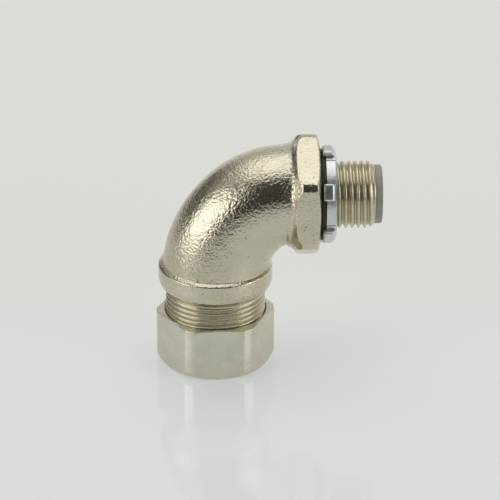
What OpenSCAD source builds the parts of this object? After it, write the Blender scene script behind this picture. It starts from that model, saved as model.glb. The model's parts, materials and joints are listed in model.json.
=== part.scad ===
// Right-angled compression fitting for flexible conduit.
// The origin is the centre of the gland nut's foot. +Z runs up the conduit's axis
// and +X points out along the male panel thread.

/* [Elbow casting] */
// Height of the panel thread's axis above the gland nut's foot
outlet_height = 42.7; // [41:0.1:46]
// Outside radius of the bent tube
tube_r = 12.3; // [11.8:0.1:12.6]
// Radius of the wireway through the bend
wireway_r = 8.6; // [7.5:0.1:9]
// Centre-line radius of the bend
bend_r = 18.1; // [17.5:0.1:18.3]
// Outside radius of the collar above the gland thread
collar_r = 13.6; // [13.4:0.1:14]
// Height of the collar's upper edge above the foot
collar_top = 24.9; // [24:0.1:25.5]
// Height of the collar's lower edge above the foot
collar_bottom = 20.4; // [20:0.1:22]

/* [Gland thread] */
// Outside radius of the gland thread
gland_thread_r = 11.95; // [11.9:0.01:12]
// Pitch of the gland thread
gland_pitch = 1.25; // [1:0.25:1.5]
// Height of the thread's upper end
gland_thread_top = 19.3; // [18.5:0.1:19.5]
// Height of the thread's open lower end
gland_thread_foot = 7.2; // [7.2:0.1:8]
// Radius of the socket for the conduit's end
socket_r = 9.75; // [9.6:0.05:9.9]
// Height of the shoulder at the socket's top
shoulder_height = 12; // [11.8:0.1:14]

/* [Hexagon] */
// Size of the elbow's hexagon across its flats
hex_across_flats = 27; // [26.6:0.1:28]
// Radius to which the hexagon's corners are turned
hex_turned_r = 15.1; // [14.9:0.05:15.4]
// Distance from the conduit axis to the hexagon's back
hex_back = 18.3; // [18.2:0.1:19]
// Distance from the conduit axis to the start of the hexagon's domed front
hex_front = 23.5; // [23:0.1:23.6]
// Distance from the conduit axis to the seat of the gasket
seat = 24.7; // [24.6:0.05:25]

/* [Panel thread] */
// Outside radius of the panel thread, M16
panel_thread_r = 8; // [7.9:0.01:8]
// Pitch of the panel thread
panel_pitch = 1.5; // [1:0.25:1.5]
// Distance from the conduit axis to the thread's end face
thread_end = 37.5; // [37:0.1:40]
// Radius of the bore through the thread
outlet_bore_r = 5.9; // [5.7:0.05:6]

/* [Gland nut] */
// Size of the gland nut across its flats
nut_across_flats = 25.7; // [25.6:0.1:26]
// Radius to which the nut's corners are turned
nut_turned_r = 14.1; // [14:0.05:14.6]
// Height of the nut
nut_height = 13.2; // [13:0.1:14]
// Angle of the nut about the conduit axis
nut_angle = 3.4; // [-30:0.1:30]
// Radius of the conduit's hole through the nut's lip
entry_r = 9.15; // [9.1:0.05:9.3]
// Thickness of the lip that holds the sealing ring
lip_h = 2.4; // [2:0.1:2.5]

/* [Sealing ring and ferrule] */
// Inside radius of the sealing ring
ring_bore_r = 8.98; // [8.95:0.01:9]
// Outside radius of the sealing ring
ring_r = 10.2; // [10:0.1:10.2]
// Height of the sealing ring
ring_h = 5.9; // [5.5:0.1:5.9]
// Outside radius of the ferrule's sleeve
sleeve_r = 6.2; // [6:0.1:6.4]
// Inside radius of the ferrule's sleeve
ferrule_bore_r = 5.3; // [5:0.1:5.5]
// Outside radius of the ferrule's flange
flange_r = 9.3; // [9.1:0.1:9.3]

/* [Gasket and locknut] */
// Outside radius of the sealing gasket
gasket_r = 10.85; // [10.5:0.05:10.9]
// Thickness of the sealing gasket
gasket_t = 1.05; // [1:0.05:1.5]
// Outside radius of the locknut's lugs
lug_r = 12.35; // [12:0.05:12.6]
// Outside radius of the locknut between its lugs
locknut_r = 10.95; // [10.9:0.05:11.1]
// Thickness of the locknut
locknut_t = 2.65; // [2.2:0.05:2.8]
// Width of one lug
lug_w = 4.1; // [3:0.1:4.5]
// Angle of the locknut's first lug about its axis
lug_angle = 27; // [0:1:60]

/* [Insulating throat] */
// Outside radius of the throat's flange
throat_r = 6.95; // [6.5:0.05:7]
// Thickness of the throat's flange
throat_flange_t = 1.7; // [1.5:0.1:2]
// Radius of the hole for the wires
wire_r = 4.8; // [4.5:0.1:5]
// Length of the throat inside the thread
throat_spigot = 6; // [5:0.5:8]

/* [Hidden] */
$fn = 96;

bend_start = outlet_height - bend_r;
step = 0.15; // ledge where two round solids or bores of nearly one radius meet

// clearances
running = 0.06; // between a thread's crest and the nut that turns on it
face_gap = 0.05; // between two faces that are stacked
loose = 0.45; // between the gasket and the thread it slides along

// thread details
crest_share = 0.24; // part of the gland pitch that is flat crest
gland_groove = 0.7; // depth of the gland thread
mark_w = 0.44; // width of a groove in the panel thread
mark_depth = 0.6; // depth of a groove in the panel thread
relief_w = 0.8; // width of the groove just past the locknut
relief_depth = 0.9; // depth of that groove
lead = 0.7; // chamfer at a thread's end

// stack on the panel thread
gasket_x = seat + face_gap;
locknut_x = gasket_x + gasket_t + face_gap;
relief_x = locknut_x + locknut_t + 0.25;
crown_slope = 0.6; // how far the locknut's rim stands below its crown

// stack inside the gland
ring_z = lip_h + 0.3;
flange_z = ring_z + ring_h + face_gap;
flange_t = 1.2;
sleeve_z = lip_h + 0.2;

cut = 0.1; // how far a cutter runs past a face

// A solid turned about the local Z axis from points [radius, height]
module turned(points) {
    rotate_extrude()
        polygon(points);
}

// Puts children, built along local +Z, onto the panel thread's axis at distance x
module on_outlet(x) {
    translate([x, 0, outlet_height])
        rotate([0, 90, 0])
            children();
}

// A hexagonal bar with a corner pointing along local +X
module hexagonal_bar(across_flats, height) {
    corner = across_flats / 2 / cos(30);
    linear_extrude(height)
        polygon([for (k = [0:5]) [corner * cos(60 * k), corner * sin(60 * k)]]);
}

// The bend as a round bar of radius r
module bend(r) {
    translate([bend_r, 0, bend_start])
        rotate([90, 0, 0])
            rotate([0, 0, 90])
                rotate_extrude(angle = 90)
                    translate([bend_r, 0])
                        circle(r = r);
}

// Outline of ring grooves up a thread, from height z
function groove_points(r, depth, pitch, count, z) =
    [for (k = [0:count - 1]) for (p = [
        [r, z + k * pitch],
        [r, z + (k + crest_share) * pitch],
        [r - depth, z + (k + crest_share + 0.3) * pitch],
        [r - depth, z + (k + 0.75) * pitch]])
        p];

// Gland thread, collar and lower end of the tube
module gland_end() {
    root_r = gland_thread_r - gland_groove;
    first_turn = gland_thread_foot + lead;
    turns = floor((gland_thread_top - first_turn) / gland_pitch);
    rounding = 0.5;
    turned(concat(
        [[0, gland_thread_foot], [root_r, gland_thread_foot]],
        groove_points(gland_thread_r, gland_groove, gland_pitch, turns, first_turn),
        [[root_r + 0.3, gland_thread_top],
         [collar_r - rounding, collar_bottom],
         [collar_r, collar_bottom + rounding],
         [collar_r, collar_top - rounding],
         [collar_r - rounding, collar_top],
         [tube_r + rounding, collar_top + rounding],
         [tube_r + 2 * step, collar_top + 2 * rounding],
         [0, collar_top + 2 * rounding]]));
}

// Flare from the tube to the back of the hexagon, along the outlet
module flare() {
    start = bend_r - 0.9;
    length = hex_back - start;
    end_r = hex_across_flats / 2 - 0.3;
    on_outlet(start)
        turned([
            [0, 0],
            [tube_r + step, 0],
            [tube_r + 0.4, 0.5 * length],
            [end_r, length],
            [end_r, length + 1],
            [0, length + 1]]);
}

// Cast hexagon: coned at the back, domed at the front down to the gasket's seat
module elbow_hexagon() {
    length = seat - hex_back;
    rim = hex_front - hex_back;
    on_outlet(hex_back)
        intersection() {
            hexagonal_bar(hex_across_flats, length);
            turned([
                [0, 0],
                [hex_turned_r - 1.8, 0],
                [hex_turned_r - 0.35, 0.75],
                [hex_turned_r, 1.3],
                [hex_turned_r, rim],
                [hex_turned_r - 0.4, rim + 0.24],
                [hex_turned_r - 1.6, rim + 0.5],
                [hex_turned_r - 2.9, rim + 0.94],
                [hex_turned_r - 3.8, length],
                [0, length]]);
        }
}

// Male panel thread, marked with a ring for each turn
module panel_thread() {
    length = thread_end - seat;
    difference() {
        on_outlet(seat - 1)
            turned([
                [0, 0],
                [panel_thread_r, 0],
                [panel_thread_r, length + 1 - lead],
                [panel_thread_r - lead, length + 1],
                [0, length + 1]]);
        for (x = [relief_x + relief_w + 1 : panel_pitch : thread_end - lead - 0.3])
            on_outlet(x)
                turned([
                    [panel_thread_r - mark_depth, mark_w / 2],
                    [panel_thread_r + cut, 0],
                    [panel_thread_r + cut, mark_w]]);
        on_outlet(relief_x)
            difference() {
                cylinder(r = panel_thread_r + cut, h = relief_w);
                translate([0, 0, -cut])
                    cylinder(r = panel_thread_r - relief_depth, h = relief_w + 2 * cut);
            }
    }
}

// Socket, wireway and outlet bore
module elbow_bores() {
    mouth = 2;
    turned([
        [0, gland_thread_foot - cut],
        [socket_r + 0.95, gland_thread_foot - cut],
        [socket_r + 0.95, gland_thread_foot],
        [socket_r, gland_thread_foot + mouth],
        [socket_r, shoulder_height],
        [wireway_r + step, shoulder_height],
        [wireway_r + step, bend_start],
        [0, bend_start]]);
    bend(wireway_r);
    on_outlet(bend_r)
        turned([
            [0, 0],
            [wireway_r - step, 0],
            [outlet_bore_r, 4.5],
            [outlet_bore_r, thread_end - bend_r + cut],
            [0, thread_end - bend_r + cut]]);
}

module elbow_body() {
    color([0.68, 0.66, 0.58])
        difference() {
            union() {
                gland_end();
                bend(tube_r);
                flare();
                elbow_hexagon();
                panel_thread();
            }
            elbow_bores();
        }
}

module gland_nut() {
    foot_r = 12.45;
    foot_chamfer = (nut_turned_r - foot_r) * tan(35);
    crown_r = nut_across_flats / 2 - 0.3;
    bore_r = gland_thread_r + running;
    color([0.66, 0.65, 0.60])
        rotate([0, 0, nut_angle])
            difference() {
                intersection() {
                    hexagonal_bar(nut_across_flats, nut_height);
                    turned([
                        [0, 0],
                        [foot_r, 0],
                        [nut_turned_r, foot_chamfer],
                        [nut_turned_r, nut_height - 0.35],
                        [crown_r, nut_height],
                        [0, nut_height]]);
                }
                translate([0, 0, -cut])
                    cylinder(r = entry_r, h = lip_h + 2 * cut);
                turned([
                    [0, lip_h],
                    [bore_r, lip_h],
                    [bore_r, nut_height - 0.3],
                    [bore_r + 0.3, nut_height],
                    [bore_r + 0.3, nut_height + cut],
                    [0, nut_height + cut]]);
            }
}

module ferrule() {
    ridge = 0.35;
    ridge_pitch = 1.5;
    color([0.75, 0.75, 0.72]) {
        turned([
            [ferrule_bore_r, sleeve_z],
            [sleeve_r - 0.3, sleeve_z],
            [sleeve_r, sleeve_z + 0.5],
            [sleeve_r, flange_z],
            [flange_r, flange_z],
            [flange_r, flange_z + flange_t - 0.2],
            [flange_r - 0.2, flange_z + flange_t],
            [ferrule_bore_r + 0.6, flange_z + flange_t],
            [ferrule_bore_r, flange_z + flange_t - 0.6]]);
        for (k = [0:2])
            translate([0, 0, sleeve_z + 1 + k * ridge_pitch])
                turned([
                    [sleeve_r - 0.1, 0],
                    [sleeve_r, 0],
                    [sleeve_r + ridge, ridge],
                    [sleeve_r, 2 * ridge],
                    [sleeve_r - 0.1, 2 * ridge]]);
    }
}

module sealing_ring() {
    tip = ring_r - 0.85;
    color([0.92, 0.91, 0.86])
        turned([
            [ring_bore_r, ring_z],
            [ring_r - 0.5, ring_z],
            [ring_r, ring_z + 0.7],
            [ring_r, ring_z + 3.3],
            [tip, ring_z + ring_h],
            [ring_bore_r, ring_z + ring_h]]);
}

module sealing_gasket() {
    rim = 0.25;
    color([0.12, 0.12, 0.11])
        on_outlet(gasket_x)
            turned([
                [panel_thread_r + loose, 0],
                [gasket_r - rim, 0],
                [gasket_r, rim],
                [gasket_r, gasket_t - rim],
                [gasket_r - rim, gasket_t],
                [panel_thread_r + loose, gasket_t]]);
}

// One lug, built along local +X, with a tooth turned towards the gasket
module lug() {
    tooth = 0.75;
    tooth_t = 0.6;
    root = locknut_r - 1.5;
    translate([root, -lug_w / 2, 0])
        cube([lug_r - root, lug_w, locknut_t - crown_slope - step]);
    translate([lug_r - tooth_t, -lug_w / 2, -tooth])
        cube([tooth_t, lug_w, tooth + cut]);
}

module locknut() {
    bore_r = panel_thread_r + running;
    crown_r = bore_r + 0.6;
    lugs = 6;
    color([0.74, 0.78, 0.79])
        on_outlet(locknut_x) {
            turned([
                [bore_r, 0],
                [locknut_r, 0],
                [locknut_r, locknut_t - crown_slope],
                [crown_r, locknut_t],
                [bore_r, locknut_t]]);
            for (k = [0:lugs - 1])
                rotate([0, 0, lug_angle + 360 / lugs * k - 90])
                    lug();
        }
}

module insulating_throat() {
    flange_x = thread_end + 0.02;
    spigot_r = outlet_bore_r - 0.05;
    rim = 0.4;
    color([0.5, 0.49, 0.47])
        on_outlet(flange_x - throat_spigot)
            turned([
                [wire_r, 0],
                [spigot_r - 0.3, 0],
                [spigot_r, 0.5],
                [spigot_r, throat_spigot],
                [throat_r, throat_spigot],
                [throat_r, throat_spigot + throat_flange_t - rim],
                [throat_r - rim, throat_spigot + throat_flange_t],
                [wire_r, throat_spigot + throat_flange_t]]);
}

elbow_body();
gland_nut();
ferrule();
sealing_ring();
sealing_gasket();
locknut();
insulating_throat();
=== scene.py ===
"""A right-angled conduit compression fitting on a white studio table.

The fitting's lengths are in millimetres, and MM turns them into metres. The studio's are in metres.
Most surfaces are rings of points round an axis: a ring angle of 0 faces -Y, and 90 degrees faces -X
on the conduit's axis and +Z on the outlet's axis.
"""
import json
from math import acos, asin, ceil, cos, floor, pi, radians, sin, sqrt, tan

import bmesh
import bpy
from mathutils import Matrix, Vector


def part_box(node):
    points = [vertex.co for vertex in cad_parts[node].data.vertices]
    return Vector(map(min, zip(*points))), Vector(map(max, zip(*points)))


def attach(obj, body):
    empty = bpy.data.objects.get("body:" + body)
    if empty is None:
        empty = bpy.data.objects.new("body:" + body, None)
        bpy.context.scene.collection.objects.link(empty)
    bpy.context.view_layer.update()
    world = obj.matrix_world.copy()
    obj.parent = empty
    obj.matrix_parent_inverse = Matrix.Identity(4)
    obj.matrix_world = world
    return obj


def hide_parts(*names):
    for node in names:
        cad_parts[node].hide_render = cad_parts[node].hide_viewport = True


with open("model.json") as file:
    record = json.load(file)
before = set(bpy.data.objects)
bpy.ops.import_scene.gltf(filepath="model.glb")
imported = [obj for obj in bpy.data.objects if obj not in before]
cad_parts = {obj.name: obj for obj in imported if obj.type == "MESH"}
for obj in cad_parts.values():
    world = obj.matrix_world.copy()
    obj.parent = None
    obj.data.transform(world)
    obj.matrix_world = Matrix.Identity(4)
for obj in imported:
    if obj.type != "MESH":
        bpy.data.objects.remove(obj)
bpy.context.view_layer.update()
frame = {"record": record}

MM = 0.001


# Layout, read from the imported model

X, Z = 0, 2


def extent(node, axis):
    """The lowest and the highest coordinate of a CAD node on an axis."""
    return [corner[axis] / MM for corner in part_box(node)]


PANEL_MOUNT = next(m for m in frame["record"]["mounts"] if m["name"] == "panel_thread")
OUTLET_Z = PANEL_MOUNT["pos_m"][Z] / MM
NUT_LOW, NUT_HIGH = extent("gland_nut", Z)
RING_LOW, RING_HIGH = extent("sealing_ring", Z)
FERRULE_LOW, FERRULE_HIGH = extent("ferrule", Z)
CASTING_LOW = extent("elbow_body", Z)[0]
THREAD_END = extent("elbow_body", X)[1]
GASKET_X, GASKET_END = extent("sealing_gasket", X)
THROAT_X, THROAT_END = extent("insulating_throat", X)
LOCKNUT_END = extent("locknut", X)[1]

# Faces that press on each other in the real fitting stand this far from where they would meet.
GASKET_GAP, THROAT_GAP = 0.05, 0.02


# Surfaces made of rings

def at(centre, tilt, r, angle):
    """The point of a ring round a centre (x, z). tilt is 0 where the ring's axis is +Z and 90
    degrees where it is +X."""
    side = r * sin(angle)
    return Vector((centre[0] - side * cos(tilt), -r * cos(angle), centre[1] + side * sin(tilt)))


def upright(r, z, angle):
    """A point round the conduit's axis."""
    return at((0, z), 0, r, angle)


def level(r, x, angle):
    """A point round the outlet's axis."""
    return at((x, OUTLET_Z), pi / 2, r, angle)


def hexagon(across, corner_r, turn=0, soft=0.16, flat_steps=19):
    """Ring angles and radii of a hexagonal bar whose corners, at 30, 90, 150 degrees and so on, are
    turned down to a radius. soft is how far the edge between a flat and a corner is rounded."""
    apothem = across / 2
    edge = pi / 6 - acos(apothem / corner_r)
    round_off = soft / corner_r
    # How far along the rounding and how deep, as shares of soft, on both sides of an edge.
    rounding = [(-1.6, 0), (-0.7, 0.10), (0, 0.22), (0.7, 0.10), (1.6, 0)]
    half = [(-edge + step * round_off, drop * soft) for step, drop in rounding] + [(-edge / 3, 0)]
    corner = half + [(0, 0)] + [(-a, drop) for a, drop in reversed(half)]
    start = edge + rounding[-1][0] * round_off
    table = []
    for k in range(6):
        middle = pi / 6 + k * pi / 3 + turn
        for a, drop in corner:
            r = min(corner_r, apothem / cos(pi / 6 - abs(a)))
            table.append((middle + a, r - drop))
        for i in range(1, flat_steps + 1):
            a = start + (pi / 3 - 2 * start) * i / (flat_steps + 1)
            table.append((middle + a, apothem / cos(pi / 6 - a)))
    return table


def rounded(points, radii, steps=4):
    """A polyline with its inner corners rounded. A radius always gives the same number of points, so
    that lines with the same radii can be joined point by point."""
    points = [Vector(p) for p in points]
    line = [points[0]]
    for before, here, after, radius in zip(points, points[1:], points[2:], radii):
        if not radius:
            line.append(here)
            continue
        a, b = before - here, after - here
        trim = min(radius / tan(a.angle(b) / 2), 0.45 * a.length, 0.45 * b.length)
        start, end = here + a.normalized() * trim, here + b.normalized() * trim
        for i in range(steps + 1):
            t = i / steps
            line.append(start * (1 - t) ** 2 + here * 2 * t * (1 - t) + end * t * t)
    return line + [points[-1]]


def loop(points, radii, steps=4):
    """A closed polyline with its corners rounded. radii are for the points in order."""
    return rounded([points[-1], *points, points[0]], radii, steps)[1:-1]


class Shell:
    """A surface built from rings and helices, welded and turned the right way out at the end.
    part is the index of the material that the next faces get."""

    def __init__(self):
        self.mesh = bmesh.new()
        self.part = 0

    def quad(self, corners):
        """A face, or a triangle where two corners are the same point."""
        distinct = list(dict.fromkeys(corners))
        if len(distinct) > 2:
            self.mesh.faces.new(distinct).material_index = self.part

    def skin(self, rings, closed=False):
        """Joins rings of points. closed joins the last ring to the first."""
        grid = [[self.mesh.verts.new(p * MM) for p in ring] for ring in rings]
        if closed:
            grid.append(grid[0])
        for low, high in zip(grid, grid[1:]):
            for i, point in enumerate(low):
                self.quad((low[i - 1], point, high[i], high[i - 1]))
        return self

    def turned(self, place, angles, profile, closed=False):
        """A profile of (radius, distance) points, the same at every angle."""
        return self.skin([[place(r, h, a) for a in angles] for r, h in profile], closed)

    def columns(self, place, angles, profiles, closed=False):
        """One profile for each angle, all with the same number of points."""
        rings = [[place(*column[k], a) for a, column in zip(angles, profiles)]
                 for k in range(len(profiles[0]))]
        return self.skin(rings, closed)

    def helix(self, place, angles, low, high, pitch, start, tooth, ends):
        """A right-hand thread from low to high. tooth lists (share of the pitch, radius), start is
        where a tooth's first point passes angle 0, and ends turns a point's distance and radius
        into its radius once the thread's two ends are cut back."""
        count = len(tooth)
        first = floor((low - start) / pitch) * count
        last = (ceil((high - start) / pitch) + 1) * count
        grid = []
        for angle in angles:
            column = []
            for j in range(first, last + 1):
                share, radius = tooth[j % count]
                h = start + pitch * (j // count + share - (angle % (2 * pi)) / (2 * pi))
                h = min(max(h, low), high)
                column.append(self.mesh.verts.new(place(ends(h, radius), h, angle) * MM))
            grid.append(column)
        for i, column in enumerate(grid):
            before = grid[i - 1]
            # Where the angle passes 0 again, a point's neighbour is one tooth further down.
            if angles[i] % (2 * pi) < angles[i - 1] % (2 * pi):
                column = [column[max(j - count, 0)] for j in range(len(column))]
            for j in range(len(column) - 1):
                self.quad((before[j], column[j], column[j + 1], before[j + 1]))
        return self

    def done(self, name, *materials):
        """The finished object, with its edges sharp where they turn by more than 38 degrees."""
        bmesh.ops.remove_doubles(self.mesh, verts=self.mesh.verts, dist=0.002 * MM)
        bmesh.ops.dissolve_degenerate(self.mesh, dist=0.0001 * MM, edges=self.mesh.edges)
        bmesh.ops.recalc_face_normals(self.mesh, faces=self.mesh.faces)
        data = bpy.data.meshes.new(name)
        self.mesh.to_mesh(data)
        self.mesh.free()
        data.shade_smooth()
        data.set_sharp_from_angle(angle=radians(38))
        for material in materials:
            data.materials.append(material)
        piece = bpy.data.objects.new(name, data)
        bpy.context.scene.collection.objects.link(piece)
        return piece


def turned_ring(name, place, profile, radii, material, count=160):
    """A round piece with a closed profile of (radius, distance) points."""
    angles = [2 * pi * i / count for i in range(count)]
    return Shell().turned(place, angles, loop(profile, radii), closed=True).done(name, material)


def thread_tooth(crest, root):
    """A thread's tooth with a broad rounded crest, as (share of the pitch, radius). half is one
    flank from the crest's middle, as (share of the pitch, share of the thread's depth)."""
    depth = crest - root
    half = [(0.03, 0.0), (0.10, 0.035), (0.175, 0.14), (0.24, 0.31), (0.40, 0.86), (0.44, 0.96), (0.47, 1.0)]
    tooth = [(0.5 - u, crest - d * depth) for u, d in reversed(half)]
    tooth += [(0.5 + u, crest - d * depth) for u, d in half]
    return tooth


# Materials

class Look:
    """A material under construction: a Principled shader and the nodes that feed it. In the name of
    a socket, _ stands for a space."""

    def __init__(self, name, **sockets):
        self.material = bpy.data.materials.new(name)
        self.material.use_nodes = True
        self.tree = self.material.node_tree
        self.shader = self.tree.nodes["Principled BSDF"]
        self.set(**sockets)
        self.place = self.add("ShaderNodeTexCoord").outputs["Object"]
        self.height = None

    def set(self, **sockets):
        """Sets or links sockets of the shader."""
        for socket, value in sockets.items():
            self.feed(self.shader.inputs[socket.replace("_", " ")], value)

    def add(self, kind, settings=(), **inputs):
        """A new node, with its settings made and its inputs set or linked."""
        node = self.tree.nodes.new(kind)
        for name, value in dict(settings).items():
            setattr(node, name, value)
        for name, value in inputs.items():
            self.feed(node.inputs[name.replace("_", " ")], value)
        return node

    def feed(self, socket, value):
        """Links a socket to a node's output, or sets it to a value."""
        if isinstance(value, bpy.types.NodeSocket):
            self.tree.links.new(value, socket)
        else:
            socket.default_value = value

    def spot(self, stretch=(1, 1, 1)):
        """Coordinates in millimetres, stretched along an axis where asked."""
        scale = [s / MM for s in stretch]
        return self.add("ShaderNodeMapping", Vector=self.place, Scale=scale).outputs[0]

    def noise(self, size, detail=3.0, rough=0.5, stretch=(1, 1, 1)):
        """Noise from 0 to 1 with blobs of that size in millimetres."""
        node = self.add("ShaderNodeTexNoise", Vector=self.spot(stretch), Scale=1 / size, Detail=detail,
                        Roughness=rough)
        return node.outputs[0]

    def cells(self, size, softness=0.6):
        """Distance to scattered points, for pits."""
        node = self.add("ShaderNodeTexVoronoi", {"feature": "SMOOTH_F1"}, Vector=self.spot(),
                        Scale=1 / size, Smoothness=softness)
        return node.outputs[0]

    def span(self, value, low, high, start=0.0, end=1.0):
        """A number that goes from low to high as the value goes from start to end, and no further."""
        node = self.add("ShaderNodeMapRange")
        for index, number in enumerate((value, start, end, low, high)):
            self.feed(node.inputs[index], number)
        return node.outputs[0]

    def mix(self, share, first, second):
        """A colour between two."""
        node = self.add("ShaderNodeMix", {"data_type": "RGBA"})
        for index, value in ((0, share), (6, first), (7, second)):
            self.feed(node.inputs[index], value if isinstance(value, bpy.types.NodeSocket)
                      else (*value, 1))
        return node.outputs[2]

    def shade(self, value, start, end, first, second):
        """A colour that goes from the first to the second as the value goes from start to end."""
        return self.mix(self.span(value, 0.0, 1.0, start, end), first, second)

    def product(self, first, second):
        """Two numbers multiplied."""
        node = self.add("ShaderNodeMath", {"operation": "MULTIPLY"})
        self.feed(node.inputs[0], first)
        self.feed(node.inputs[1], second)
        return node.outputs[0]

    def roughness(self, noise, low, high):
        """Roughness that goes from low to high over the middle of a noise's range."""
        self.set(Roughness=self.span(noise, low, high, 0.3, 0.7))

    def bump(self, value, depth, strength):
        """Adds relief of that depth in millimetres."""
        node = self.add("ShaderNodeBump", Height=value, Distance=depth * MM, Strength=strength)
        if self.height:
            self.tree.links.new(self.height, node.inputs["Normal"])
        self.height = node.outputs[0]
        self.set(Normal=self.height)


def cast_nickel():
    """Bright plating over the pebbled skin of a casting, with a few dark pinholes."""
    middle, deep, pale = (0.61, 0.565, 0.44), (0.52, 0.475, 0.35), (0.66, 0.62, 0.50)
    look = Look("cast_nickel", Metallic=1.0)
    skin = look.noise(0.62, detail=2.6, rough=0.55)
    swell = look.noise(2.6, detail=1.0)
    pits = look.cells(0.6)
    tint = look.shade(look.noise(6.0, detail=2.0), 0.35, 0.65, deep, pale)
    tint = look.shade(skin, 0.35, 0.55, tint, middle)
    hole = look.product(look.span(look.cells(1.5, 0.0), 0.7, 0.0, 0.10, 0.19),
                        look.span(look.noise(4.0, detail=1.0), 0.0, 1.0, 0.5, 0.6))
    look.set(Base_Color=look.mix(hole, tint, (0.10, 0.09, 0.07)))
    look.roughness(skin, 0.17, 0.09)
    look.bump(swell, 0.14, 0.5)
    look.bump(pits, 0.10, 0.5)
    look.bump(skin, 0.19, 0.8)
    return look.material


def turned_nickel():
    """Plating over turned threads, with a fine grain."""
    look = Look("turned_nickel", Metallic=0.85)
    cloud = look.noise(1.5)
    look.set(Base_Color=look.mix(cloud, (0.57, 0.525, 0.385), (0.66, 0.615, 0.47)))
    look.roughness(cloud, 0.18, 0.28)
    look.bump(look.noise(0.5), 0.02, 0.5)
    return look.material


def satin_nickel():
    """The gland nut: milled flats with a fine grain, plated."""
    look = Look("satin_nickel", Metallic=1.0)
    grain = look.noise(0.3, detail=4.0, rough=0.6, stretch=(0.16, 0.16, 1.4))
    cloud = look.noise(3.5, rough=0.6)
    look.set(Base_Color=look.shade(cloud, 0.3, 0.7, (0.63, 0.60, 0.495), (0.70, 0.67, 0.56)))
    look.roughness(grain, 0.19, 0.29)
    look.bump(cloud, 0.03, 0.5)
    look.bump(grain, 0.010, 0.6)
    return look.material


def zinc_plate():
    """Blue-white zinc plating over stamped steel."""
    look = Look("zinc_plate", Metallic=0.9)
    cloud = look.noise(1.8, rough=0.6)
    look.set(Base_Color=look.shade(cloud, 0.35, 0.65, (0.58, 0.64, 0.61), (0.72, 0.75, 0.70)))
    look.roughness(cloud, 0.24, 0.36)
    look.bump(look.noise(0.45), 0.08, 0.7)
    return look.material


def black_rubber():
    """Moulded rubber with a dusty bloom."""
    look = Look("black_rubber", Specular_IOR_Level=0.35)
    bloom = look.noise(1.2, detail=4.0, rough=0.65)
    look.set(Base_Color=look.shade(bloom, 0.35, 0.75, (0.038, 0.039, 0.031), (0.068, 0.067, 0.053)))
    look.roughness(bloom, 0.5, 0.72)
    look.bump(look.noise(0.25), 0.03, 0.7)
    return look.material


def grey_plastic():
    """The insulating throat: moulded grey plastic with a faint spark-eroded texture."""
    look = Look("grey_plastic", Specular_IOR_Level=0.4)
    cloud = look.noise(2.2)
    look.set(Base_Color=look.shade(cloud, 0.3, 0.7, (0.31, 0.30, 0.255), (0.38, 0.365, 0.31)))
    look.roughness(cloud, 0.38, 0.52)
    look.bump(look.noise(0.18, detail=2.0), 0.015, 0.6)
    return look.material


def nylon():
    """Natural nylon, a little translucent."""
    look = Look("nylon", Subsurface_Weight=0.3, Subsurface_Scale=0.8 * MM)
    cloud = look.noise(2.0)
    look.set(Base_Color=look.shade(cloud, 0.3, 0.7, (0.72, 0.70, 0.62), (0.82, 0.80, 0.72)))
    look.roughness(cloud, 0.34, 0.46)
    look.bump(look.noise(0.3, detail=2.0), 0.015, 0.5)
    return look.material


def plated_steel():
    """Turned and plated steel with fine rings left by the tool."""
    look = Look("plated_steel", Metallic=1.0)
    rings = look.noise(0.12, detail=2.0, stretch=(0.02, 0.02, 1))
    cloud = look.noise(1.6)
    look.set(Base_Color=look.mix(cloud, (0.50, 0.49, 0.45), (0.63, 0.62, 0.58)))
    look.roughness(cloud, 0.25, 0.38)
    look.bump(rings, 0.012, 0.6)
    return look.material


# The elbow's bend: two arcs of an eighth of a turn with a short straight between them. The tube
# narrows from the first of TUBE_RADII to the last, and then flares into the hexagon.

EIGHTH = pi / 4
BEND_START_Z, FIRST_R, SECOND_R, STRAIGHT = 22.72, 21.63, 14.53, 0.6
BEND_LENGTH = (FIRST_R + SECOND_R) * EIGHTH + STRAIGHT
TUBE_RADII = (12.8, 12.2, 11.91)
FLARE_X, FLARE_LENGTH, FLARE_RISE = 15.4, 1.64, 0.33

HEX_ACROSS, HEX_TURNED_R = 27.0, 15.08
HEX_TABLE = hexagon(HEX_ACROSS, HEX_TURNED_R)
HEX_ANGLES = [angle for angle, radius in HEX_TABLE]


def bend_at(s):
    """Centre and tilt of the tube at a distance s along the bend."""
    first = FIRST_R * EIGHTH
    low = min(s, first) / FIRST_R
    x, z = FIRST_R * (1 - cos(low)), BEND_START_Z + FIRST_R * sin(low)
    straight = min(max(s - first, 0), STRAIGHT)
    x, z = x + straight * sin(EIGHTH), z + straight * cos(EIGHTH)
    tilt = low + max(s - first - STRAIGHT, 0) / SECOND_R
    if tilt > EIGHTH:
        x += SECOND_R * (cos(EIGHTH) - cos(tilt))
        z += SECOND_R * (sin(tilt) - sin(EIGHTH))
    return (x, z), tilt


def tube_radius(s):
    """Radius of the tube at a distance s along the bend, before the flare."""
    share = s / BEND_LENGTH
    start, middle, end = TUBE_RADII
    return start * (1 - share) ** 2 + middle * 2 * share * (1 - share) + end * share * share


def flare(x):
    """How much wider the tube is where it starts to flare into the hexagon."""
    return FLARE_RISE * max(0, (x - FLARE_X) / FLARE_LENGTH) ** 2


def tube_point(s, angle):
    """The point of the tube's skin at a distance s along the bend."""
    centre, tilt = bend_at(s)
    return at(centre, tilt, tube_radius(s) + flare(centre[0]), angle)


def reach(z, angle):
    """How far along the first arc the tube's skin reaches a height z, found in a few rounds because
    the tube's radius changes with the distance."""
    r = TUBE_RADII[0]
    for _ in range(4):
        s = FIRST_R * asin((z - BEND_START_Z) / (FIRST_R + r * sin(angle)))
        r = tube_radius(s)
    return s


def along(table, r):
    """Looks up x for a radius in a table of (radius, x)."""
    for (r0, x0), (r1, x1) in zip(table, table[1:]):
        if r <= r1:
            break
    return x0 + (x1 - x0) * (r - r0) / (r1 - r0)


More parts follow.
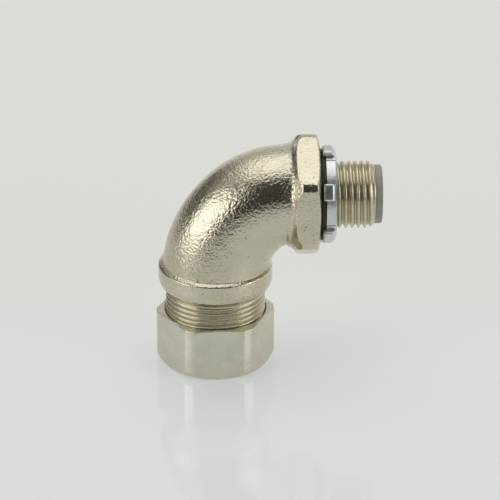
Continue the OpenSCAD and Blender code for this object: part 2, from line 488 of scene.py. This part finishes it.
# The elbow casting, from the gland end round to the panel thread and back through the inside.
# Its threads, its neck and the hollow of the panel thread are turned, and the rest is cast.

CAST, TURNED = 0, 1
GLAND_CREST, GLAND_ROOT, GLAND_PITCH, GLAND_START = 11.9, 11.2, 1.25, 12.55
PANEL_CREST, PANEL_ROOT, PANEL_PITCH, PANEL_START = 7.97, 7.12, 1.5, 29.69
MOUTH_R, NECK_R, NECK_LOW, NECK_HIGH = 10.7, 11.85, 18.6, 18.8
LEDGE_R, LEDGE_Z = 13.25, 25.18
SEAT_R, SEAT_X = 10.9, GASKET_X - GASKET_GAP
PANEL_TIP_R, PANEL_TIP_X = PANEL_ROOT - 0.12, THREAD_END - THROAT_GAP
WIREWAY_R, WIREWAY_BEND_R, WIREWAY_BEND_Z = 8.6, 18.1, 24.6
STEP_R, STEP_X = WIREWAY_R - 0.15, WIREWAY_BEND_R - 0.01


def gland_end(shell):
    """The gland thread on its foot, and the plain neck above it."""
    foot_r, thread_low = GLAND_ROOT - 0.1, CASTING_LOW + 0.05

    def ends(z, r):
        lead = foot_r + (z - thread_low) * 1.2
        run_out = NECK_R - (NECK_LOW - z) * 0.9
        return max(min(r, lead), run_out)

    shell.part = TURNED
    foot = [(MOUTH_R, CASTING_LOW), (foot_r, CASTING_LOW), (foot_r, thread_low)]
    shell.turned(upright, HEX_ANGLES, foot)
    shell.helix(upright, HEX_ANGLES, thread_low, NECK_LOW, GLAND_PITCH, GLAND_START,
                thread_tooth(GLAND_CREST, GLAND_ROOT), ends)
    shell.turned(upright, HEX_ANGLES, [(NECK_R, NECK_LOW), (NECK_R, NECK_HIGH)])


def collar(shell):
    """The collar, from the neck to the edge of its ledge."""
    r, low_z, high_z = 13.6, 21.6, 24.87
    profile = [(NECK_R, NECK_HIGH), (12.1, NECK_HIGH + 0.35), (13.2, low_z - 1.3), (r, low_z), (r, high_z),
               (LEDGE_R, LEDGE_Z)]
    shell.part = CAST
    shell.turned(upright, HEX_ANGLES, rounded(profile, [0.5, 1.0, 1.2, 1.2], steps=6))


def bend(shell, count=56):
    """The tube, from the ledge through a fillet to the end of the bend. Its rings start level, at
    high_z, and tilt more and more."""
    fillet, low_z, high_z = 0.25, 25.5, 26.3
    columns = []
    for angle in HEX_ANGLES:
        start = reach(high_z, angle)
        foot = [upright(LEDGE_R, LEDGE_Z, angle), tube_point(reach(low_z, angle), angle),
                tube_point(start, angle)]
        rest = [start + (BEND_LENGTH - start) * k / count for k in range(1, count + 1)]
        columns.append(rounded(foot, [fillet]) + [tube_point(s, angle) for s in rest])
    shell.skin(list(zip(*columns)))


def hexagon_columns():
    """Profiles (radius, x) from the end of the bend over the flare and the hexagon to the seat. The
    cone behind the hexagon and the dome in front of it are tables of (radius, x), and crown is how
    far a corner bulges in the middle of its length."""
    tube_x = bend_at(BEND_LENGTH)[0][0]
    flat_r = HEX_ACROSS / 2
    cone = [(13.3, 18.62), (13.5, 18.72), (14.2, 18.9), (14.7, 19.2), (15.1, 19.95)]
    dome = [(11.3, SEAT_X), (12.1, 24.58), (13.0, 24.38), (13.5, 24.2), (14.7, 23.88), (15.1, 23.6)]
    face_r, face_steps, crown_height = dome[0][0], 5, 0.10
    radii = [0.5, 0.4, 0.1, 0.1, 2.0, 0.3] + [0] * (face_steps - 1) + [0.15]
    columns = []
    for _, edge in HEX_TABLE:
        on_corner = (edge - flat_r) / (HEX_TURNED_R - flat_r)
        crown = crown_height * max(0, on_corner * 4 - 3)
        back_x, front_x = along(cone, edge), along(dome, edge)
        line = [(TUBE_RADII[-1] + flare(tube_x), tube_x + 0.05), (12.55, 17.85), (13.05, 18.35),
                (edge - 0.12, back_x), (edge, back_x + 0.2), (edge + crown, (back_x + front_x) / 2),
                (edge, front_x)]
        face = [edge + (face_r - edge) * k / face_steps for k in range(1, face_steps + 1)]
        line += [(r, along(dome, r)) for r in face]
        line += [(SEAT_R, SEAT_X)]
        columns.append(rounded(line, radii))
    return columns


def wrench_hexagon(shell):
    """The hexagon, joined to the end of the bend."""
    columns = hexagon_columns()
    first_r = columns[0][0][0]
    shell.skin([[at(*bend_at(BEND_LENGTH), first_r, a) for a in HEX_ANGLES],
                [level(*column[0], a) for a, column in zip(HEX_ANGLES, columns)]])
    shell.columns(level, HEX_ANGLES, columns)


def panel_thread(shell):
    """The seat of the gasket, the panel thread, and the hollow back to the bend."""
    bore_r, cone_x = 5.9, 22.6

    def ends(x, r):
        run_out = PANEL_TIP_R + (x - SEAT_X) * 2
        lead = PANEL_TIP_R + (PANEL_TIP_X - x) * 0.8
        return min(r, run_out, lead)

    shell.part = TURNED
    shell.turned(level, HEX_ANGLES, [(SEAT_R, SEAT_X), (PANEL_TIP_R, SEAT_X)])
    shell.helix(level, HEX_ANGLES, SEAT_X, PANEL_TIP_X, PANEL_PITCH, PANEL_START,
                thread_tooth(PANEL_CREST, PANEL_ROOT), ends)
    bore = [(PANEL_TIP_R, PANEL_TIP_X), (bore_r, PANEL_TIP_X), (bore_r, cone_x), (STEP_R, WIREWAY_BEND_R),
            (STEP_R, STEP_X)]
    shell.turned(level, HEX_ANGLES, rounded(bore, [0.15, 0.8, 0]))


def wireway(shell, count=24):
    """The hollow of the bend and the riser under it, down past the pocket of the ferrule's flange."""
    riser_r, pocket_r, pocket_low, pocket_high = 8.75, 9.75, 9.2, 12.0
    rings = [[level(STEP_R, STEP_X, a) for a in HEX_ANGLES]]
    for k in range(count + 1):
        tilt = pi / 2 * (1 - k / count)
        centre = (WIREWAY_BEND_R * (1 - cos(tilt)), WIREWAY_BEND_Z + WIREWAY_BEND_R * sin(tilt))
        rings.append([at(centre, tilt, WIREWAY_R, a) for a in HEX_ANGLES])
    shell.part = CAST
    shell.skin(rings)
    riser = [(WIREWAY_R, WIREWAY_BEND_Z), (riser_r, WIREWAY_BEND_Z - 0.1), (riser_r, pocket_high),
             (pocket_r, pocket_high), (pocket_r, pocket_low), (MOUTH_R, CASTING_LOW)]
    shell.turned(upright, HEX_ANGLES, rounded(riser, [0, 0.2, 0.1, 0.1]))


def elbow_casting(cast_material, turned_material):
    """Gland thread, collar, bend, hexagon and panel thread: one casting, hollow right through."""
    shell = Shell()
    gland_end(shell)
    collar(shell)
    bend(shell)
    wrench_hexagon(shell)
    panel_thread(shell)
    wireway(shell)
    return shell.done("elbow_casting", cast_material, turned_material)


# The gland nut and what it squeezes

def gland_nut(material):
    """Hexagonal nut with a chamfered foot, a plain lip at the bottom and a wide mouth."""
    table = hexagon(25.66, 14.1, turn=-radians(3.4), soft=0.09)
    foot_r, crown_r, entry_r, bore_r = 12.46, 12.62, 9.15, 12.01
    foot_slope, crown_slope, crown_drop = tan(radians(35)), 0.14, 0.12
    lip_top = NUT_LOW + 2.4
    radii = [0.06, 0.12, 0.18, 1.6, 0.12, 0.1, 0.1, 0.1, 0.2, 0.06]
    columns = []
    for _, edge in table:
        foot_edge = NUT_LOW + (edge - foot_r) * foot_slope
        crown_edge = NUT_HIGH - crown_drop - (edge - crown_r) * crown_slope
        profile = [(bore_r + 0.28, NUT_HIGH), (crown_r, NUT_HIGH), (edge, crown_edge), (edge, foot_edge),
                   (foot_r, NUT_LOW), (entry_r + 0.3, NUT_LOW), (entry_r, NUT_LOW + 0.3),
                   (entry_r, lip_top), (bore_r, lip_top), (bore_r, NUT_HIGH - 0.3)]
        columns.append(loop(profile, radii))
    angles = [angle for angle, _ in table]
    return Shell().columns(upright, angles, columns, closed=True).done("gland_nut_body", material)


def ferrule(material):
    """Flanged ferrule with a ridged sleeve that goes into the conduit."""
    bore, sleeve, flange = 5.3, 6.2, 9.3
    ridge, ridge_pitch, ridges = 0.35, 1.5, 3
    flange_z = FERRULE_HIGH - 1.2
    profile = [(bore, FERRULE_LOW), (sleeve - 0.3, FERRULE_LOW), (sleeve, FERRULE_LOW + 0.5)]
    radii = [0.1, 0.1, 0.2]
    for k in range(ridges):
        z = FERRULE_LOW + 1 + ridge_pitch * k
        profile += [(sleeve, z), (sleeve + ridge, z + ridge), (sleeve, z + 2 * ridge)]
        radii += [0.08, 0.08, 0.08]
    profile += [(sleeve, flange_z), (flange, flange_z), (flange, FERRULE_HIGH), (bore + 0.5, FERRULE_HIGH),
                (bore, FERRULE_HIGH - 0.5)]
    radii += [0.25, 0.15, 0.25, 0.2, 0.2]
    return turned_ring("ferrule_body", upright, profile, radii, material)


def sealing_ring(material):
    """Nylon olive with a tapered nose."""
    bore, wide = 8.98, 10.2
    profile = [(bore, RING_LOW), (wide - 0.5, RING_LOW), (wide, RING_LOW + 0.7), (wide, RING_LOW + 3.3),
               (wide - 0.85, RING_HIGH), (bore, RING_HIGH)]
    return turned_ring("sealing_ring_body", upright, profile, [0.15, 0.2, 0.2, 0.3, 0.15, 0.15], material)


# The outlet's small pieces

def gasket(material):
    """Flat rubber washer with rounded rims, pressed a little wider in the middle."""
    bore, rim, bulge = 8.45, 10.85, 0.08
    middle = (GASKET_X + GASKET_END) / 2
    profile = [(bore, GASKET_X), (rim - bulge, GASKET_X), (rim, middle), (rim - bulge, GASKET_END),
               (bore, GASKET_END)]
    return turned_ring("gasket_body", level, profile, [0.1, 0.25, 0.5, 0.25, 0.1], material)


def throat(material):
    """Insulating bushing: a flange with a rounded rim and a spigot inside the thread."""
    bore, spigot, flange = 4.8, 5.85, 6.95
    flange_x = THREAD_END + THROAT_GAP
    profile = [(bore, THROAT_X), (spigot - 0.25, THROAT_X), (spigot, THROAT_X + 0.5), (spigot, flange_x),
               (flange, flange_x), (flange, THROAT_END), (bore, THROAT_END)]
    return turned_ring("throat_body", level, profile, [0.1, 0.1, 0.2, 0, 0.15, 0.45, 0.4], material)


def soft_step(value, low, high):
    """0 below low, 1 above high, and a soft step between."""
    t = min(max((value - low) / (high - low), 0), 1)
    return t * t * (3 - 2 * t)


def locknut_profile(away):
    """The locknut's closed profile (radius, x) at an angle, in degrees, from a lug's middle. A lug
    is a block with broad bevels that reaches back beside the gasket, between two low shoulders."""
    bore, rim, shoulder, lug = 8.06, 10.95, 11.12, 12.32
    lug_edge, shoulder_edge = (9.5, 9.9), (15.9, 16.5)
    bevel_start, bevel_width, bevel_depth = 7.2, 2.4, 0.30
    back, lug_reach, lug_foot_r = GASKET_END + GASKET_GAP, 0.72, 10.9
    is_lug = 1 - soft_step(away, *lug_edge)
    is_shoulder = 1 - soft_step(away, *shoulder_edge)
    low = rim + (shoulder - rim) * is_shoulder
    bevel = bevel_depth * (1 - sqrt(1 - min(1, max(0, away - bevel_start) / bevel_width) ** 2))
    outer = low + (lug - bevel - low) * is_lug
    behind = back - lug_reach * is_lug
    lug_block = [(lug_foot_r - 0.03, back), (lug_foot_r, behind), (outer - 0.28 * is_lug, behind),
                 (outer, behind + 0.03 + 0.34 * is_lug), (outer, LOCKNUT_END - 0.7 - 0.65 * is_lug),
                 (outer - 0.3 * is_lug, LOCKNUT_END - 0.65 - 0.35 * is_lug)]
    dome = [(low, LOCKNUT_END - 0.55), (10.6, LOCKNUT_END - 0.35), (9.9, LOCKNUT_END - 0.13),
            (bore + 0.75, LOCKNUT_END), (bore, LOCKNUT_END - 0.5)]
    radii = [0.1, 0.08, 0.08, 0.12, 0.25, 0.3, 0.2, 0.2, 0.5, 0.5, 0.2, 0.2]
    return loop([(bore, back)] + lug_block + dome, radii, steps=3)


def locknut(material):
    """Locknut with a domed face and six lugs. Its profile is worked out at marks, in degrees from
    the middle of a lug, that lie closer together where it changes."""
    lugs, first_lug = 6, radians(26.5)
    marks = [0, 3.5, 7.0, 7.6, 8.1, 8.6, 9.0, 9.3, 9.5, 9.6, 9.75, 9.9, 12.0, 14.5, 15.9, 16.2, 16.5,
             18.5, 21.5, 25.5]
    offsets = [-m for m in reversed(marks[1:])] + marks + [180 / lugs]
    angles, columns = [], []
    for k in range(lugs):
        for offset in offsets:
            angles.append(first_lug + k * 2 * pi / lugs + radians(offset))
            columns.append(locknut_profile(abs(offset)))
    return Shell().columns(level, angles, columns, closed=True).done("locknut_body", material)


# The studio. Some of its lights light only the fitting, and some only the floor.

PIECES = bpy.data.collections.new("pieces")
FLOOR = bpy.data.collections.new("floor")
STUDIO_GLOW = 1.25
FLOOR_FRONT, FLOOR_BACK, FLOOR_GLOW = (0.443, 0.459, 0.457), (0.433, 0.438, 0.417), 0.83


def camera():
    """A long lens from the front, a little above."""
    target, distance = Vector((8.242, 0, 28.223)) * MM, 0.72006
    elevation, yaw, roll = radians(25.883), radians(-1.693), radians(0.28)
    back = Vector((sin(yaw) * cos(elevation), -cos(yaw) * cos(elevation), sin(elevation)))
    side = (-back).cross(Vector((0, 0, 1))).normalized()
    rise = side.cross(-back)
    right = side * cos(roll) + rise * sin(roll)
    up = rise * cos(roll) - side * sin(roll)
    lens = bpy.data.cameras.new("camera")
    lens.sensor_width = 36
    lens.lens = 217.728
    lens.clip_start = 0.05
    holder = bpy.data.objects.new("camera", lens)
    turn = Matrix((right, up, back)).transposed().to_4x4()
    holder.matrix_world = Matrix.Translation(target + back * distance) @ turn
    bpy.context.scene.collection.objects.link(holder)
    bpy.context.scene.camera = holder


def softbox(name, azimuth, elevation, distance, size, glow, receivers=None):
    """A lit rectangle that the camera doesn't see. glow is its brightness, where 1 shows as white.
    It lights everything, or only the receivers."""
    light = bpy.data.lights.new(name, "AREA")
    light.shape = "RECTANGLE"
    light.size, light.size_y = size
    light.energy = glow * pi * size[0] * size[1]
    a, e = radians(azimuth), radians(elevation)
    way = Vector((cos(a) * cos(e), sin(a) * cos(e), sin(e)))
    holder = bpy.data.objects.new(name, light)
    holder.location = way * distance
    holder.rotation_euler = way.to_track_quat("Z", "Y").to_euler()
    holder.visible_camera = False
    if receivers:
        holder.light_linking.receiver_collection = receivers
    bpy.context.scene.collection.objects.link(holder)


def surroundings():
    """The studio's walls by compass direction, a dimmer ceiling, and plain grey to the camera."""
    world = bpy.data.worlds.new("studio")
    bpy.context.scene.world = world
    world.use_nodes = True
    tree = world.node_tree
    tree.nodes.clear()

    def add(kind, inputs=(), **settings):
        """The first output of a new node, with its settings made and its inputs set or linked."""
        node = tree.nodes.new(kind)
        for name, value in settings.items():
            setattr(node, name, value)
        for index, value in enumerate(inputs):
            if isinstance(value, bpy.types.NodeSocket):
                tree.links.new(value, node.inputs[index])
            else:
                node.inputs[index].default_value = value
        return node.outputs[0]

    def ramp(value, stops):
        """A grey looked up from a value between 0 and 1."""
        colour = add("ShaderNodeValToRGB", [value])
        elements = colour.node.color_ramp.elements
        while len(elements) < len(stops):
            elements.new(0.5)
        for element, (position, grey) in zip(elements, stops):
            element.position, element.color = position, (grey, grey, grey * 0.98, 1)
        return colour

    # turns is 0 and 1 towards -X, 0.25 towards -Y, 0.5 towards +X and 0.75 towards +Y.
    way = add("ShaderNodeSeparateXYZ", [add("ShaderNodeTexCoord")]).node.outputs
    compass = add("ShaderNodeMath", [way[1], way[0]], operation="ARCTAN2")
    turns = add("ShaderNodeMapRange", [compass, -pi, pi, 0.0, 1.0])
    low = ramp(turns, [(0.0, 0.20), (0.10, 0.20), (0.145, 0.05), (0.33, 0.05), (0.38, 0.25), (0.50, 0.40),
                       (0.64, 0.66), (0.80, 0.66), (0.83, 0.11), (0.915, 0.11), (0.95, 0.20), (1.0, 0.20)])
    high = ramp(turns, [(0.0, 0.42), (0.09, 0.34), (0.145, 0.07), (0.33, 0.07), (0.38, 0.25), (0.50, 0.35),
                        (0.64, 0.58), (0.80, 0.55), (0.88, 0.38), (1.0, 0.42)])
    height = add("ShaderNodeMapRange", [way[2], -0.2, 1.0, 0.0, 1.0])
    wall = add("ShaderNodeMix", data_type="RGBA").node
    tree.links.new(ramp(height, [(0.0, 0.0), (0.48, 0.0), (0.60, 1.0), (1.0, 1.0)]), wall.inputs[0])
    tree.links.new(low, wall.inputs[6])
    tree.links.new(high, wall.inputs[7])
    fade = ramp(height, [(0.0, 1.0), (0.20, 1.0), (0.27, 0.78), (0.70, 0.82), (0.88, 0.55), (1.0, 0.5)])
    glow = add("ShaderNodeVectorMath", [wall.outputs[2], fade], operation="MULTIPLY")
    studio = add("ShaderNodeBackground", [glow, STUDIO_GLOW])
    plain = add("ShaderNodeBackground", [(0.70, 0.71, 0.68, 1)])
    seen_by_camera = add("ShaderNodeLightPath")
    shown = add("ShaderNodeMixShader", [seen_by_camera, studio, plain])
    output = tree.nodes.new("ShaderNodeOutputWorld")
    tree.links.new(shown, output.inputs[0])


def table_top():
    """A glossy white floor, a little warmer at the back than at the front."""
    half = 2.5
    corners = [(-half, -half, 0), (half, -half, 0), (half, half, 0), (-half, half, 0)]
    data = bpy.data.meshes.new("floor")
    data.from_pydata(corners, [], [(0, 1, 2, 3)])
    table = bpy.data.objects.new("floor", data)
    bpy.context.scene.collection.objects.link(table)
    look = Look("floor_white", IOR=1.5, Emission_Strength=FLOOR_GLOW)
    distance_back = look.add("ShaderNodeSeparateXYZ", Vector=look.place).outputs[1]
    tint = look.shade(distance_back, -0.01, 0.05, FLOOR_FRONT, FLOOR_BACK)
    look.set(Base_Color=tint, Emission_Color=tint)
    look.set(Roughness=look.span(look.noise(60.0, detail=2.0), 0.06, 0.09))
    data.materials.append(look.material)
    FLOOR.objects.link(table)


camera()
softbox("top", 90, 82, 2.6, (3.2, 2.9), 1.12)
softbox("left", 200, 18, 3.0, (2.67, 1.72), 1.95, PIECES)
softbox("right", 343, 15, 3.0, (2.0, 1.9), 1.5, PIECES)
softbox("left_sheen", 205, 27, 3.0, (1.5, 0.8), 2.2, FLOOR)
softbox("right_sheen", 328, 27, 3.0, (1.5, 0.8), 2.3, FLOOR)
surroundings()
table_top()


# The fitting

def finish_piece(piece, body, slot, *nodes):
    """Names the body a piece rides on and the CAD nodes it stands for. slot, the record's slot, is not used.
    """
    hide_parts(*nodes)
    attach(piece, body)
    PIECES.objects.link(piece)


casting = elbow_casting(cast_nickel(), turned_nickel())
finish_piece(casting, "elbow", "cast_nickel", "elbow_body")
finish_piece(throat(grey_plastic()), "elbow", "grey_plastic", "insulating_throat")
finish_piece(gland_nut(satin_nickel()), "gland_nut", "machined_nickel", "gland_nut")
finish_piece(ferrule(plated_steel()), "gland_pack", "plated_steel", "ferrule")
finish_piece(sealing_ring(nylon()), "gland_pack", "nylon", "sealing_ring")
finish_piece(gasket(black_rubber()), "gasket", "black_rubber", "sealing_gasket")
finish_piece(locknut(zinc_plate()), "locknut", "zinc_plate", "locknut")

bpy.context.scene.view_settings.view_transform = "Standard"
